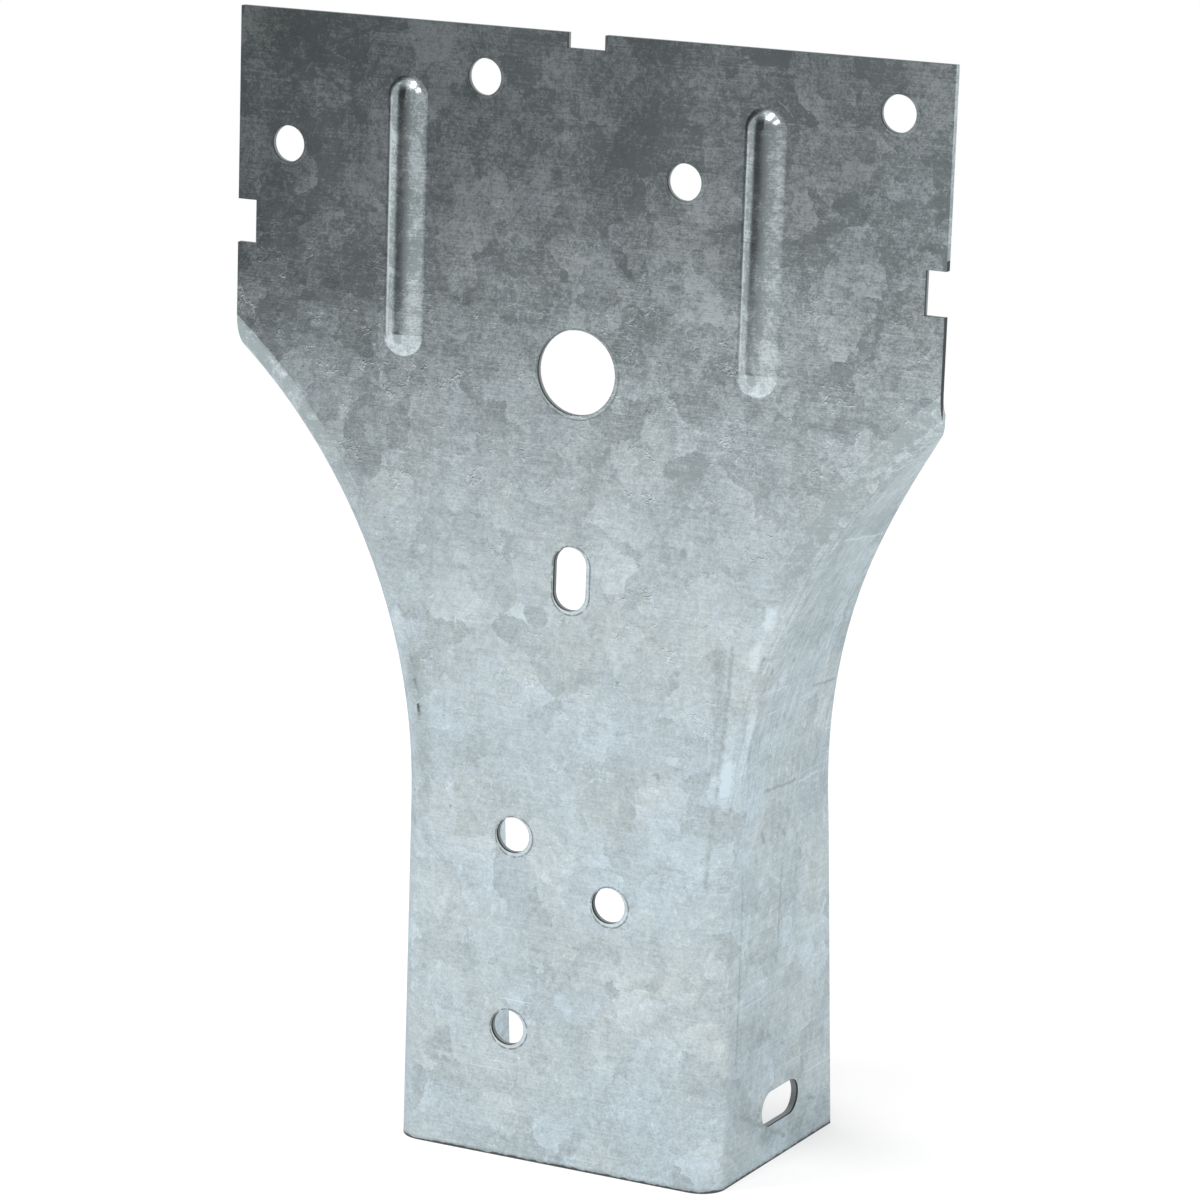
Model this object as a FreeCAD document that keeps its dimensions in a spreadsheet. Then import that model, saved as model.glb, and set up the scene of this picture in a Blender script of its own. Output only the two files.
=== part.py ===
import FreeCAD, Part
import math
import os
import Sketcher
from BOPTools import JoinFeatures

# Stud plate tie: one piece of zinc-coated sheet steel, cut flat and folded once down each side.
# A wide flat plate is nailed to the wall plate. Below it the sheet narrows into a channel that
# fits over the end of a stud, and its two flanges turn back along a bend that starts straight
# and then sweeps outwards in an arc to the lower corners of the plate.
#
# Frame: X across the tie, Y from the sheet's back face into the timber, Z up from the foot.
# The origin is the middle of the foot edge, on the back face, which bears on the timber.

# Driving dimensions, in millimetres and degrees
SIZES = {
    # the sheet and the whole tie
    "sheet_thickness": 0.91,
    "plate_width": 88.9,
    "tie_length": 133.35,
    # the channel over the stud, measured outside, and its bends
    "channel_width": 42.2,
    "bend_radius": 2.4,
    "bend_angle": 87.4,
    # the arc in which the channel flares out to the plate
    "flare_start": 41.7,
    "flare_radius": 67.7,
    # free edge of a flange, in side view: depth behind the back face, and height
    "foot_depth": 30.4,
    "throat_depth": 26.5,
    "throat_height": 36.0,
    "shoulder_depth": 16.5,
    "shoulder_drop": 17.25,
    "corner_depth": 2.0,
    "corner_drop": 0.5,
    # nail holes
    "nail_hole": 4.25,
    "plate_nail_side": 6.5,
    "upper_nail_edge": 5.8,
    "lower_nail_edge": 15.55,
    "stud_nail_offset": 6.3,
    "stud_nail_low": 16.0,
    "stud_nail_middle": 32.9,
    "stud_nail_high": 39.5,
    # the large round hole in the middle of the plate
    "centre_hole": 9.85,
    "centre_hole_edge": 38.45,
    # the upright slot in the stud face, below the round hole
    "stud_slot_width": 4.2,
    "stud_slot_length": 7.5,
    "stud_slot_drop": 24.0,
    # the level slot near the foot of each flange
    "side_slot_width": 4.35,
    "side_slot_length": 9.6,
    "side_slot_depth": 16.1,
    "side_slot_height": 6.7,
    # notches left in the edges by the strip that the blank was cut from
    "side_notch_height": 5.1,
    "side_notch_depth": 2.4,
    "side_notch_rise": 15.45,
    "top_notch_width": 4.7,
    "top_notch_depth": 1.75,
    # the two stiffening beads pressed out of the plate
    "bead_pitch": 44.7,
    "bead_width": 4.35,
    "bead_height": 0.74,
    "bead_length": 31.75,
    "bead_edge": 6.7,
    "bead_foot_radius": 1.2,
}

# Spare length by which a cut or an unfinished edge runs past what it meets
OVERRUN = "3"

# How far an edge may seem to lie from where it is looked for
SLACK = "0.01"

# Lengths that follow from the driving ones
THICKNESS = "Sizes.sheet_thickness"
HALF_PLATE = "Sizes.plate_width / 2"
OUTER_BEND = "(Sizes.bend_radius + Sizes.sheet_thickness)"
FOLD_START = f"(Sizes.channel_width / 2 - {OUTER_BEND} * sin(Sizes.bend_angle))"
FLARE_AXIS = "(Sizes.channel_width / 2 + Sizes.flare_radius)"
CORNER_HEIGHT = (
    f"(Sizes.flare_start + sqrt(Sizes.flare_radius ^ 2 - ({FLARE_AXIS} - {HALF_PLATE}) ^ 2))"
)
CENTRE_HOLE_HEIGHT = "(Sizes.tie_length - Sizes.centre_hole_edge)"
BEAD_CREST = "(Sizes.bead_width ^ 2 / 4 + Sizes.bead_height ^ 2) / (2 * Sizes.bead_height)"
BEAD_AXIS_DEPTH = f"({BEAD_CREST} - Sizes.bead_height - {THICKNESS})"
NAIL_PITCH = "((Sizes.plate_width - 2 * Sizes.plate_nail_side) / 3)"

# How a sketch names its axes, its origin and the points of a line or an arc
X_AXIS, Y_AXIS = range(-1, -3, -1)
START, END, CENTRE = range(1, 4)
ORIGIN_POINT = (X_AXIS, START)

# How a sketch is turned to lie in each plane, its first letter across and its second up
PLANES = {
    "XY": FreeCAD.Rotation(),
    "XZ": FreeCAD.Rotation(FreeCAD.Vector(1, 0, 0), 90),
    "YZ": FreeCAD.Rotation(FreeCAD.Vector(1, 1, 1), 120),
}


def add_sizes(doc):
    """Write the driving dimensions into a spreadsheet, one named cell each."""
    sheet = doc.addObject("Spreadsheet::Sheet", "Sizes")
    for row, (name, value) in enumerate(SIZES.items(), start=1):
        sheet.set(f"A{row}", name)
        sheet.set(f"B{row}", str(value))
        sheet.setAlias(f"B{row}", name)
    doc.recompute()
    return sheet


def number(body, formula):
    """The present value of a formula of sheet names."""
    result = body.evalExpression(formula)
    return float(getattr(result, "Value", result))


def loose_sketch(doc, name, plane, axis=None, shift=None):
    """An empty sketch that belongs to no body, moved along one axis by a formula."""
    sketch = doc.addObject("Sketcher::SketchObject", name)
    sketch.Placement = FreeCAD.Placement(FreeCAD.Vector(), PLANES[plane])
    if axis:
        sketch.setExpression(f"Placement.Base.{axis}", shift)
    return sketch


def new_sketch(body, name, plane, offset=None):
    """An empty sketch on an origin plane of the body, moved along the plane's normal by a formula."""
    sketch = body.newObject("Sketcher::SketchObject", name)
    origin_plane = next(f for f in body.Origin.OriginFeatures if f.Role == plane)
    sketch.AttachmentSupport = (origin_plane, [""])
    sketch.MapMode = "FlatFace"
    if offset:
        sketch.setExpression("AttachmentOffset.Base.z", offset)
    return sketch


def drive(sketch, kind, where, formula, name):
    """Add a dimension to a sketch and tie it to a formula."""
    value = number(sketch, formula)
    unit = ""
    if kind == "Angle":
        value = math.radians(value)
        unit = " * 1 deg"
    index = sketch.addConstraint(Sketcher.Constraint(kind, *where, value))
    sketch.renameConstraint(index, name)
    sketch.setExpression(f"Constraints.{name}", f"({formula}){unit}")


def locate(sketch, point, x_formula, y_formula, name):
    """Tie a point of a sketch to a place given by two formulas."""
    if x_formula:
        drive(sketch, "DistanceX", (*ORIGIN_POINT, *point), x_formula, name + "_x")
    if y_formula:
        drive(sketch, "DistanceY", (*ORIGIN_POINT, *point), y_formula, name + "_y")


def relate(sketch, relations):
    """Add geometric relations, each a kind followed by what it joins."""
    for kind, *where in relations:
        sketch.addConstraint(Sketcher.Constraint(kind, *where))


def line(sketch, start, end):
    """Draw a straight line between two points and return its index."""
    ends = [FreeCAD.Vector(x, y, 0) for x, y in (start, end)]
    return sketch.addGeometry(Part.LineSegment(*ends), False)


def arc(sketch, centre, radius, first_angle, last_angle):
    """Draw an arc that runs anticlockwise between two angles in degrees."""
    circle = Part.Circle(FreeCAD.Vector(*centre, 0), FreeCAD.Vector(0, 0, 1), radius)
    angles = [math.radians(angle) for angle in (first_angle, last_angle)]
    return sketch.addGeometry(Part.ArcOfCircle(circle, *angles), False)


def polygon(sketch, corners, name):
    """Draw a closed figure of straight lines whose corners are pairs of formulas."""
    points = [tuple(number(sketch, formula) for formula in corner) for corner in corners]
    lines = [line(sketch, a, b) for a, b in zip(points, points[1:] + points[:1])]
    for index, (this, following) in enumerate(zip(lines, lines[1:] + lines[:1])):
        relate(sketch, [("Coincident", this, END, following, START)])
        locate(sketch, (this, START), *corners[index], f"{name}_{index}")


def round_hole(sketch, x_formula, y_formula, diameter, name):
    """Draw a circle with its centre and diameter tied to formulas."""
    centre = FreeCAD.Vector(number(sketch, x_formula), number(sketch, y_formula), 0)
    radius = number(sketch, diameter) / 2
    index = sketch.addGeometry(Part.Circle(centre, FreeCAD.Vector(0, 0, 1), radius), False)
    locate(sketch, (index, CENTRE), x_formula, y_formula, name)
    drive(sketch, "Diameter", (index,), diameter, name + "_across")


def slot(sketch, first, last, width, name, upright):
    """Draw a slot with round ends about two centres, each a pair of formulas."""
    (x0, y0), (x1, y1) = (tuple(number(sketch, f) for f in point) for point in (first, last))
    radius = number(sketch, width) / 2
    turn = 90 if upright else 0
    end_cap = arc(sketch, (x1, y1), radius, turn - 90, turn + 90)
    side_x, side_y = (-radius, 0) if upright else (0, radius)
    back = line(sketch, (x1 + side_x, y1 + side_y), (x0 + side_x, y0 + side_y))
    start_cap = arc(sketch, (x0, y0), radius, turn + 90, turn + 270)
    front = line(sketch, (x0 - side_x, y0 - side_y), (x1 - side_x, y1 - side_y))
    relate(sketch, [
        ("Tangent", end_cap, END, back, START),
        ("Tangent", back, END, start_cap, START),
        ("Tangent", start_cap, END, front, START),
        ("Tangent", front, END, end_cap, START),
        ("Equal", start_cap, end_cap),
    ])
    locate(sketch, (start_cap, CENTRE), *first, name + "_first")
    along = "DistanceY" if upright else "DistanceX"
    across = "Vertical" if upright else "Horizontal"
    relate(sketch, [(across, start_cap, CENTRE, end_cap, CENTRE)])
    last_formula = last[1] if upright else last[0]
    drive(sketch, along, (*ORIGIN_POINT, end_cap, CENTRE), last_formula, name + "_last")
    drive(sketch, "Radius", (end_cap,), f"{width} / 2", name + "_radius")


def fold_line(sketch, with_web):
    """Draw the outside of the fold, right of the middle: half the web, the bend and the flange.

    The flange runs past the depth that its free edge is cut to."""
    thickness = number(sketch, THICKNESS)
    radius = number(sketch, OUTER_BEND)
    fold = number(sketch, FOLD_START)
    turn = number(sketch, "Sizes.bend_angle")
    depth = number(sketch, f"Sizes.foot_depth + {OVERRUN}")
    along = (math.cos(math.radians(turn)), math.sin(math.radians(turn)))
    leave = (fold + radius * along[1], radius - thickness - radius * along[0])
    uncut = (leave[0] + (depth - leave[1]) * along[0] / along[1], depth)
    bend = arc(sketch, (fold, radius - thickness), radius, -90, turn - 90)
    flange = line(sketch, leave, uncut)
    relate(sketch, [
        ("Vertical", bend, START, bend, CENTRE),
        ("Tangent", bend, END, flange, START),
    ])
    locate(sketch, (bend, START), FOLD_START, f"-{THICKNESS}", "fold_start")
    locate(sketch, (flange, END), None, f"Sizes.foot_depth + {OVERRUN}", "uncut_edge")
    drive(sketch, "Radius", (bend,), OUTER_BEND, "outside_bend")
    drive(sketch, "Angle", (flange,), "Sizes.bend_angle", "bend")
    if with_web:
        web = line(sketch, (0, -thickness), (fold, -thickness))
        relate(sketch, [
            ("Coincident", web, END, bend, START),
            ("Horizontal", web),
            ("PointOnObject", web, START, Y_AXIS),
        ])


def cut_through(body, name, sketch):
    """Cut a sketch's figure through everything, both ways."""
    feature = body.newObject("PartDesign::Pocket", name)
    feature.Profile = sketch
    feature.Type = "ThroughAll"
    feature.Midplane = True
    return feature


def mirror(body, name, features):
    """Repeat features on the other side of the middle plane."""
    feature = body.newObject("PartDesign::Mirrored", name)
    feature.Originals = features
    middle = next(f for f in body.Origin.OriginFeatures if f.Role == "YZ_Plane")
    feature.MirrorPlane = (middle, [""])
    body.Tip = feature
    return feature


def channel_face(doc):
    """The outside of the straight channel, as far up as the flare."""
    sketch = loose_sketch(doc, "channel_line", "XY")
    fold_line(sketch, with_web=True)
    face = doc.addObject("Part::Extrusion", "channel_face")
    face.Base = sketch
    face.DirMode = "Custom"
    face.Dir = FreeCAD.Vector(0, 0, 1)
    face.setExpression("LengthFwd", "Sizes.flare_start")
    return face


def flare_face(doc):
    """The same fold carried round an arc, whose axis points into the timber."""
    sketch = loose_sketch(doc, "flare_line", "XY", "z", "Sizes.flare_start")
    fold_line(sketch, with_web=False)
    face = doc.addObject("Part::Revolution", "flare_face")
    face.Source = sketch
    face.Axis = FreeCAD.Vector(0, 1, 0)
    face.setExpression("Base.x", FLARE_AXIS)
    face.setExpression("Base.z", "Sizes.flare_start")
    face.setExpression(
        "Angle", f"acos(({FLARE_AXIS} - {HALF_PLATE} - {OVERRUN}) / ({FLARE_AXIS} - {FOLD_START}))"
    )
    return face


def plate_face(doc):
    """The front of half the flat plate, down to the line where the bend starts.

    It runs past the side that the sheet is trimmed to."""
    sketch = loose_sketch(doc, "plate_outline", "XZ", "y", f"-{THICKNESS}")
    fold = number(sketch, FOLD_START)
    low = number(sketch, "Sizes.flare_start")
    top = number(sketch, "Sizes.tie_length")
    side = number(sketch, f"{HALF_PLATE} + {OVERRUN}")
    axis_x = number(sketch, FLARE_AXIS)
    radius = axis_x - fold
    reach = math.degrees(math.acos((axis_x - side) / radius))
    meet = (side, low + radius * math.sin(math.radians(reach)))
    base = line(sketch, (0, low), (fold, low))
    sweep = arc(sketch, (axis_x, low), radius, 180 - reach, 180)
    edge = line(sketch, meet, (side, top))
    head = line(sketch, (side, top), (0, top))
    middle = line(sketch, (0, top), (0, low))
    relate(sketch, [
        ("Coincident", base, END, sweep, END),
        ("Coincident", sweep, START, edge, START),
        ("Coincident", edge, END, head, START),
        ("Coincident", head, END, middle, START),
        ("Coincident", middle, END, base, START),
        ("Horizontal", base),
        ("Vertical", edge),
        ("Horizontal", head),
        ("PointOnObject", middle, START, Y_AXIS),
        ("PointOnObject", middle, END, Y_AXIS),
        ("Horizontal", sweep, CENTRE, base, START),
    ])
    locate(sketch, (base, END), FOLD_START, "Sizes.flare_start", "fold_start")
    locate(sketch, (edge, END), f"{HALF_PLATE} + {OVERRUN}", "Sizes.tie_length", "plate_corner")
    locate(sketch, (sweep, CENTRE), FLARE_AXIS, None, "flare_axis")
    face = doc.addObject("Part::Face", "plate_face")
    face.Sources = [sketch]
    face.FaceMakerClass = "Part::FaceMakerBullseye"
    return face


def joined(name, faces):
    """Join faces that meet edge to edge into one skin."""
    skin = JoinFeatures.makeConnect(name)
    skin.Objects = faces
    return skin


def blank_limits(doc):
    """The space that the trimmed sheet keeps to, a little wider than the plate.

    In side view it is bounded by the flanges' free edge: a taper up from the foot, then two arcs
    that close on the lower corner of the plate, and one that rounds the corner itself and ends
    upright at the sheet's back face."""
    sketch = loose_sketch(doc, "free_edge_outline", "YZ")
    stations = [
        ("Sizes.foot_depth", "0"),
        ("Sizes.throat_depth", "Sizes.throat_height"),
        ("Sizes.shoulder_depth", f"{CORNER_HEIGHT} - Sizes.shoulder_drop"),
        ("Sizes.corner_depth", f"{CORNER_HEIGHT} - Sizes.corner_drop"),
    ]
    foot, throat, shoulder, corner = [tuple(number(sketch, f) for f in s) for s in stations]
    ahead = number(sketch, f"-{OVERRUN}")
    above = number(sketch, f"Sizes.tie_length + {OVERRUN}")
    taper = line(sketch, foot, throat)
    heading = math.atan2(throat[1] - foot[1], throat[0] - foot[0])
    lower_arc, heading = tangent_arc(sketch, throat, heading, shoulder)
    upper_arc, heading = tangent_arc(sketch, shoulder, heading, corner)
    radius = corner[0] / (1 - math.sin(heading))
    level = corner[1] - radius * math.cos(heading)
    rounding = arc(sketch, (radius, level), radius, 180, math.degrees(heading) + 90)
    riser = line(sketch, (0, level), (0, above))
    top = line(sketch, (0, above), (ahead, above))
    front = line(sketch, (ahead, above), (ahead, ahead))
    base = line(sketch, (ahead, ahead), (foot[0], ahead))
    heel = line(sketch, (foot[0], ahead), foot)
    relate(sketch, [
        ("Tangent", taper, END, lower_arc, START),
        ("Tangent", lower_arc, END, upper_arc, START),
        ("Tangent", upper_arc, END, rounding, END),
        ("Tangent", rounding, START, riser, START),
        ("Coincident", riser, END, top, START),
        ("Coincident", top, END, front, START),
        ("Coincident", front, END, base, START),
        ("Coincident", base, END, heel, START),
        ("Coincident", heel, END, taper, START),
        ("PointOnObject", taper, START, X_AXIS),
        ("Vertical", riser),
        ("PointOnObject", riser, START, Y_AXIS),
        ("Horizontal", top),
        ("Vertical", front),
        ("Horizontal", base),
        ("Vertical", heel),
    ])
    locate(sketch, (taper, START), stations[0][0], None, "foot")
    locate(sketch, (lower_arc, START), *stations[1], "throat")
    locate(sketch, (upper_arc, START), *stations[2], "shoulder")
    locate(sketch, (upper_arc, END), *stations[3], "corner")
    locate(sketch, (front, START), f"-{OVERRUN}", f"Sizes.tie_length + {OVERRUN}", "upper_front")
    locate(sketch, (front, END), None, f"-{OVERRUN}", "lower_front")
    limits = doc.addObject("Part::Extrusion", "blank_limits")
    limits.Base = sketch
    limits.DirMode = "Normal"
    limits.setExpression("LengthFwd", f"Sizes.plate_width + {OVERRUN}")
    limits.Symmetric = True
    limits.Solid = True
    return limits


def folded_sheet(doc):
    """The folded sheet with no holes: its outside, trimmed, then given its thickness inwards.

    The thickness is taken square to the face, so every cut edge is square to the sheet."""
    half = joined("half_face", [channel_face(doc), flare_face(doc), plate_face(doc)])
    other = doc.addObject("Part::Mirroring", "other_half_face")
    other.Source = half
    other.Normal = FreeCAD.Vector(1, 0, 0)
    trimmed = doc.addObject("Part::Common", "trimmed_face")
    trimmed.Base = joined("outer_face", [half, other])
    trimmed.Tool = blank_limits(doc)
    sheet = doc.addObject("Part::Offset", "folded_sheet")
    sheet.Source = trimmed
    sheet.setExpression("Value", THICKNESS)
    sheet.Fill = True
    doc.recompute()
    return sheet


def tangent_arc(sketch, start, heading, end):
    """Draw an arc that leaves start on a heading, turns left and reaches end.

    Returns its index and the heading at its end."""
    dx, dy = end[0] - start[0], end[1] - start[1]
    half_turn = math.atan2(dy, dx) - heading
    radius = math.hypot(dx, dy) / (2 * math.sin(half_turn))
    centre = (start[0] - radius * math.sin(heading), start[1] + radius * math.cos(heading))
    first = math.degrees(heading) - 90
    index = arc(sketch, centre, radius, first, first + math.degrees(2 * half_turn))
    return index, heading + 2 * half_turn


def add_bead(body):
    """One stiffening bead: a round-ended ridge of even thickness, hollow at the back."""
    low = "(Sizes.tie_length - Sizes.bead_edge - Sizes.bead_length + Sizes.bead_width / 2)"
    high = "(Sizes.tie_length - Sizes.bead_edge - Sizes.bead_width / 2)"
    crest = f"({BEAD_CREST})"
    outside = capsule_sketch(body, "bead_section", low, high, crest)
    ridge = spin(body, "PartDesign::Revolution", "bead_ridge", outside)

    back = new_sketch(body, "bead_back_outline", "XZ_Plane")
    left, right = (f"Sizes.bead_pitch / 2 {sign} {crest}" for sign in "-+")
    under, over = f"{low} - {crest}", f"{high} + {crest}"
    polygon(back, [(left, under), (right, under), (right, over), (left, over)], "back")
    flush = body.newObject("PartDesign::Pocket", "bead_back")
    flush.Profile = back
    flush.setExpression("Length", f"2 * {crest}")

    inside = capsule_sketch(body, "bead_hollow_section", low, high, f"({crest} - {THICKNESS})")
    hollow = spin(body, "PartDesign::Groove", "bead_hollow", inside)
    return [ridge, flush, hollow]


def capsule_sketch(body, name, low, high, radius):
    """Half the outline of a round-ended rod that stands on the bead's centre line."""
    sketch = new_sketch(body, name, "YZ_Plane", "Sizes.bead_pitch / 2")
    axis_y = number(sketch, BEAD_AXIS_DEPTH)
    size = number(sketch, radius)
    bottom, top = number(sketch, low), number(sketch, high)
    axis = line(sketch, (axis_y, top + size), (axis_y, bottom - size))
    lower = arc(sketch, (axis_y, bottom), size, 180, 270)
    upper = arc(sketch, (axis_y, top), size, 90, 180)
    side = line(sketch, (axis_y - size, top), (axis_y - size, bottom))
    relate(sketch, [
        ("Coincident", axis, END, lower, END),
        ("Coincident", axis, START, upper, START),
        ("Tangent", upper, END, side, START),
        ("Tangent", side, END, lower, START),
        ("Vertical", side),
        ("Vertical", axis),
        ("PointOnObject", lower, CENTRE, axis),
        ("PointOnObject", upper, CENTRE, axis),
    ])
    locate(sketch, (lower, CENTRE), BEAD_AXIS_DEPTH, low, "lower_end")
    locate(sketch, (upper, CENTRE), None, high, "upper_end")
    drive(sketch, "Radius", (upper,), radius, "rod_radius")
    return sketch


def spin(body, kind, name, sketch):
    """Turn a sketch fully about its own first line."""
    feature = body.newObject(kind, name)
    feature.Profile = sketch
    feature.ReferenceAxis = (sketch, ["Edge1"])
    feature.Angle = 360
    return feature


def round_bead_feet(body):
    """Round where the beads leave the plate, in front, and a sheet thickness wider at the back."""
    rims = (
        ("bead_front_round", f"-{THICKNESS}", "Sizes.bead_foot_radius"),
        ("bead_back_round", "0", f"Sizes.bead_foot_radius + {THICKNESS}"),
    )
    for name, depth, radius in rims:
        body.Document.recompute()
        under = body.Tip
        rounding = body.newObject("PartDesign::Fillet", name)
        rounding.Base = (under, bead_rims(under, number(body, depth)))
        rounding.setExpression("Radius", radius)
        body.Tip = rounding


def bead_rims(feature, depth):
    """The names of the edges round the beads at one depth."""
    inner = number(feature, f"Sizes.bead_pitch / 2 - Sizes.bead_width / 2 - {SLACK}")
    outer = number(feature, f"Sizes.bead_pitch / 2 + Sizes.bead_width / 2 + {SLACK}")
    low = number(feature, f"Sizes.tie_length - Sizes.bead_edge - Sizes.bead_length - {SLACK}")
    slack = float(SLACK)
    names = []
    for index, edge in enumerate(feature.Shape.Edges, start=1):
        box = edge.BoundBox
        level = abs(box.YMin - depth) < slack and abs(box.YMax - depth) < slack
        sides = sorted(abs(x) for x in (box.XMin, box.XMax))
        if level and box.ZMin > low and inner < sides[0] and sides[1] < outer:
            names.append(f"Edge{index}")
    return names


def cut_sides(body):
    """The plate's two straight sides."""
    sketch = new_sketch(body, "side_outlines", "XZ_Plane")
    low, high = f"-{OVERRUN}", f"Sizes.tie_length + {OVERRUN}"
    for side, sign in (("left", "-1 * "), ("right", "")):
        inner, outer = f"{sign}{HALF_PLATE}", f"{sign}({HALF_PLATE} + {OVERRUN})"
        polygon(sketch, [(inner, low), (outer, low), (outer, high), (inner, high)], f"{side}_side")
    return cut_through(body, "plate_sides", sketch)


def cut_nail_holes(body):
    """Four holes in the plate, staggered in two rows, and three in the stud face."""
    sketch = new_sketch(body, "nail_hole_centres", "XZ_Plane")
    upper = "Sizes.tie_length - Sizes.upper_nail_edge"
    lower = "Sizes.tie_length - Sizes.lower_nail_edge"
    offset = "Sizes.stud_nail_offset"
    places = [
        (f"-1.5 * {NAIL_PITCH}", lower),
        (f"-0.5 * {NAIL_PITCH}", upper),
        (f"0.5 * {NAIL_PITCH}", lower),
        (f"1.5 * {NAIL_PITCH}", upper),
        (f"-1 * {offset}", "Sizes.stud_nail_low"),
        (offset, "Sizes.stud_nail_middle"),
        (f"-1 * {offset}", "Sizes.stud_nail_high"),
    ]
    for index, (x, z) in enumerate(places, start=1):
        round_hole(sketch, x, z, "Sizes.nail_hole", f"nail_{index}")
    return cut_through(body, "nail_holes", sketch)


def cut_centre_hole(body):
    """The large round hole on the centre line."""
    sketch = new_sketch(body, "centre_hole_outline", "XZ_Plane")
    centre = FreeCAD.Vector(0, number(sketch, CENTRE_HOLE_HEIGHT), 0)
    radius = number(sketch, "Sizes.centre_hole / 2")
    index = sketch.addGeometry(Part.Circle(centre, FreeCAD.Vector(0, 0, 1), radius), False)
    relate(sketch, [("PointOnObject", index, CENTRE, Y_AXIS)])
    locate(sketch, (index, CENTRE), None, CENTRE_HOLE_HEIGHT, "centre_hole")
    drive(sketch, "Diameter", (index,), "Sizes.centre_hole", "across")
    return cut_through(body, "centre_hole", sketch)


def cut_slots(body):
    """The upright slot in the stud face, and a level one in each flange."""
    half_run = "(Sizes.stud_slot_length - Sizes.stud_slot_width) / 2"
    middle = f"{CENTRE_HOLE_HEIGHT} - Sizes.stud_slot_drop"
    upright = new_sketch(body, "stud_slot_outline", "XZ_Plane")
    slot(
        upright, ("0", f"{middle} - {half_run}"), ("0", f"{middle} + {half_run}"),
        "Sizes.stud_slot_width", "stud_slot", upright=True,
    )
    cut_through(body, "stud_slot", upright)

    half_run = "(Sizes.side_slot_length - Sizes.side_slot_width) / 2"
    depth, height = "Sizes.side_slot_depth", "Sizes.side_slot_height"
    level = new_sketch(body, "side_slot_outline", "YZ_Plane")
    slot(
        level, (f"{depth} - {half_run}", height), (f"{depth} + {half_run}", height),
        "Sizes.side_slot_width", "side_slot", upright=False,
    )
    cut_through(body, "side_slots", level)


def cut_notches(body):
    """The notches in the two side edges and in the top edge."""
    sketch = new_sketch(body, "notch_outlines", "XZ_Plane")
    low = f"{CORNER_HEIGHT} + Sizes.side_notch_rise - Sizes.side_notch_height / 2"
    high = f"{CORNER_HEIGHT} + Sizes.side_notch_rise + Sizes.side_notch_height / 2"
    for side, sign in (("left", "-1 * "), ("right", "")):
        inner = f"{sign}({HALF_PLATE} - Sizes.side_notch_depth)"
        outer = f"{sign}({HALF_PLATE} + {OVERRUN})"
        polygon(sketch, [(inner, low), (outer, low), (outer, high), (inner, high)], f"{side}_notch")
    left, right = "-Sizes.top_notch_width / 2", "Sizes.top_notch_width / 2"
    floor = "Sizes.tie_length - Sizes.top_notch_depth"
    above = f"Sizes.tie_length + {OVERRUN}"
    polygon(sketch, [(left, floor), (right, floor), (right, above), (left, above)], "top_notch")
    return cut_through(body, "notches", sketch)


def make_tie(doc):
    """The folded sheet, with its beads, holes and notches."""
    body = doc.addObject("PartDesign::Body", "stud_plate_tie")
    body.Label = "stud_plate_tie"
    body.BaseFeature = folded_sheet(doc)
    doc.recompute()
    cut_sides(body)
    mirror(body, "both_beads", add_bead(body))
    round_bead_feet(body)
    cut_nail_holes(body)
    cut_centre_hole(body)
    cut_slots(body)
    body.Tip = cut_notches(body)
    body.Tip.Refine = True
    return body


def check_document(doc, bodies):
    """Stop if any object failed or any sub-part has no sound solid."""
    doc.recompute()
    for item in doc.Objects:
        if {"Invalid", "Error"} & set(item.State):
            raise RuntimeError(f"{item.Name} failed: {item.State}")
    for body in bodies:
        shape = body.Shape
        if shape.isNull() or not shape.isValid() or len(shape.Solids) != 1:
            raise RuntimeError(f"{body.Label} isn't one sound solid")


def main():
    """Build the document, check it and write one file for each sub-part."""
    doc = FreeCAD.newDocument("stud_plate_tie")
    add_sizes(doc)
    bodies = [make_tie(doc)]
    check_document(doc, bodies)
    os.makedirs("parts", exist_ok=True)
    for body in bodies:
        body.Shape.exportStep(os.path.join("parts", f"{body.Label}.step"))
        box = body.Shape.optimalBoundingBox(False)
        print(f"{body.Label}: {body.Shape.Volume:.1f} mm3, {len(body.Shape.Faces)} faces,",
              f"x {box.XMin:.2f} to {box.XMax:.2f}, y {box.YMin:.2f} to {box.YMax:.2f},",
              f"z {box.ZMin:.2f} to {box.ZMax:.2f}")


main()
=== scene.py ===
"""Dresses the stud plate tie as folded, spangled galvanised sheet in a plain pale studio."""

import logging
import math
from collections.abc import Iterable
from dataclasses import dataclass
from enum import Enum
from functools import reduce

import bmesh
import bpy
from mathutils import Matrix, Vector

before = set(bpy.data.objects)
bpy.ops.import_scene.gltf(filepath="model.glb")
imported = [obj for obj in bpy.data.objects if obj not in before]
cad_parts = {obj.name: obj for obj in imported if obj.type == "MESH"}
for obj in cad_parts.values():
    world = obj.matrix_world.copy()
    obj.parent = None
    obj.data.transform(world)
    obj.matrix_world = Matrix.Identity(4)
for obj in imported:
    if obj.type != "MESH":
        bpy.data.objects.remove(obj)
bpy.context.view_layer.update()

LOG = logging.getLogger("stud_plate_tie")
NODE = "stud_plate_tie"
MM = 0.001
MIDDLE = 0.5

Triple = tuple[float, float, float]
Colour = tuple[float, float, float, float]
Span = tuple[float, float]
Socket = bpy.types.NodeSocket
Tree = bpy.types.NodeTree


def opaque(colour: Triple) -> Colour:
    """Gives a colour its full cover.

    Args:
        colour: red, green and blue.

    Returns:
        The colour as a socket takes it.
    """
    return (*colour, 1.0)


def grey(level: float) -> Colour:
    """Makes an opaque grey.

    Args:
        level: how bright it is, 1 for white.

    Returns:
        The colour as a socket takes it.
    """
    return opaque((level, level, level))


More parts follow.
